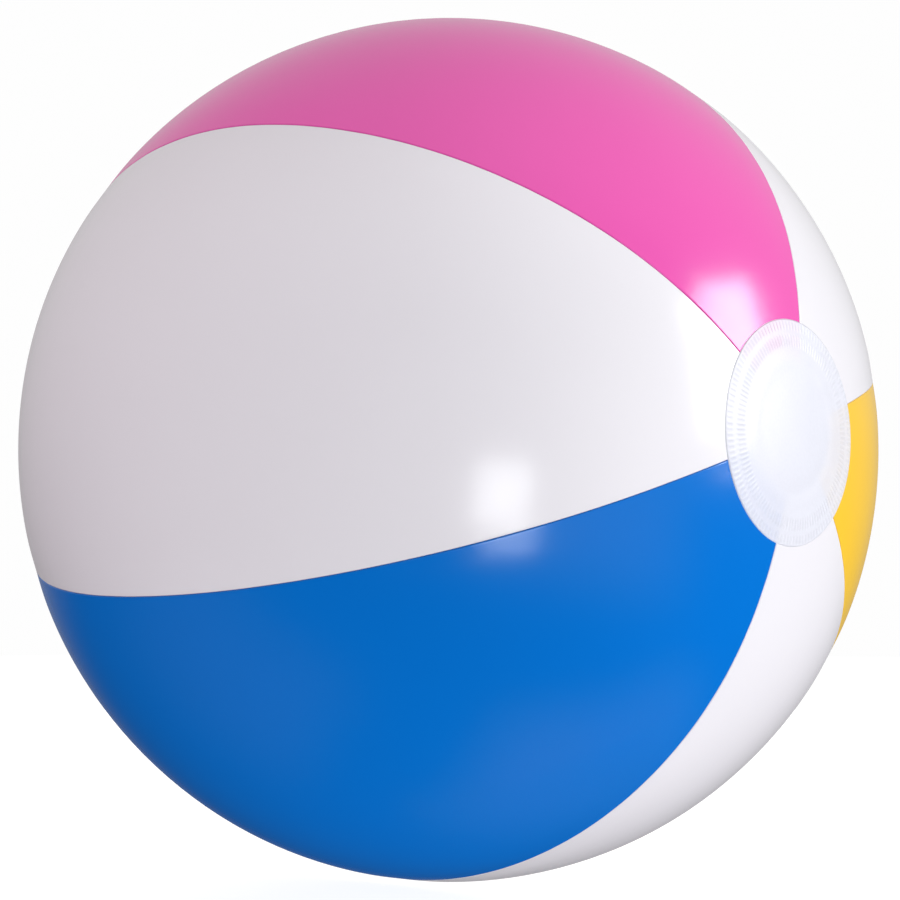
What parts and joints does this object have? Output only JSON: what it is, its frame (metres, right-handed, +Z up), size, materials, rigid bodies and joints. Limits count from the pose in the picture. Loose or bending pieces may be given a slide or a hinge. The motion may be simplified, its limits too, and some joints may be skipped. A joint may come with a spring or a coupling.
{
  "type": "inflatable beach ball",
  "caption": "Inflatable ball of welded film panels in alternating colours, with an end disc over each pole and a push-in air valve with a tethered stopper.",
  "frame": {"origin": "centre of the ball", "axes": "+X along the polar axis, through the end disc whose rim the picture shows; +Z up; -Y towards the front. The valve is near the -X pole"},
  "size_m": [0.3648, 0.3798, 0.38],
  "materials": {
    "white_vinyl": "smooth glossy film",
    "blue_vinyl": "smooth glossy film",
    "yellow_vinyl": "smooth glossy film",
    "pink_vinyl": "smooth glossy film",
    "disc_vinyl": "translucent frosted film with rings of weld teeth",
    "valve_vinyl": "soft translucent moulding",
    "flap_film": "thin milky film"
  },
  "bodies": {
    "ball": {"panel_white_front": "white_vinyl", "panel_blue": "blue_vinyl", "panel_white_lower": "white_vinyl", "panel_yellow": "yellow_vinyl", "panel_white_upper": "white_vinyl", "panel_pink": "pink_vinyl", "end_disc_right": "disc_vinyl", "end_disc_left": "disc_vinyl", "valve_flange": "valve_vinyl", "valve_collar": "valve_vinyl"},
    "stem": {"valve_stem": "valve_vinyl"},
    "stopper": {"stopper": "valve_vinyl", "stopper_strap": "valve_vinyl"},
    "flap": {"one_way_flap": "flap_film"}
  },
  "joints": [
    {"name": "valve_slide", "type": "slide", "parent": "ball", "child": "stem", "axis": [-0.8746, 0.3116, 0.3714], "range_m": [0, 0.012], "deforming": ["valve_collar"]},
    {"name": "stopper_hinge", "type": "hinge", "parent": "stem", "child": "stopper", "pos_m": [-0.15618, 0.06343, 0.08305], "axis": [0.3368, 0.9416, 0.003], "range_deg": [0, 130], "deforming": ["stopper_strap"]},
    {"name": "flap_hinge", "type": "hinge", "parent": "stem", "child": "flap", "pos_m": [-0.14447, 0.05927, 0.07668], "axis": [-0.3368, -0.9416, -0.003], "range_deg": [0, 35], "stiffness_Nm_per_rad": 0.00005}
  ]
}
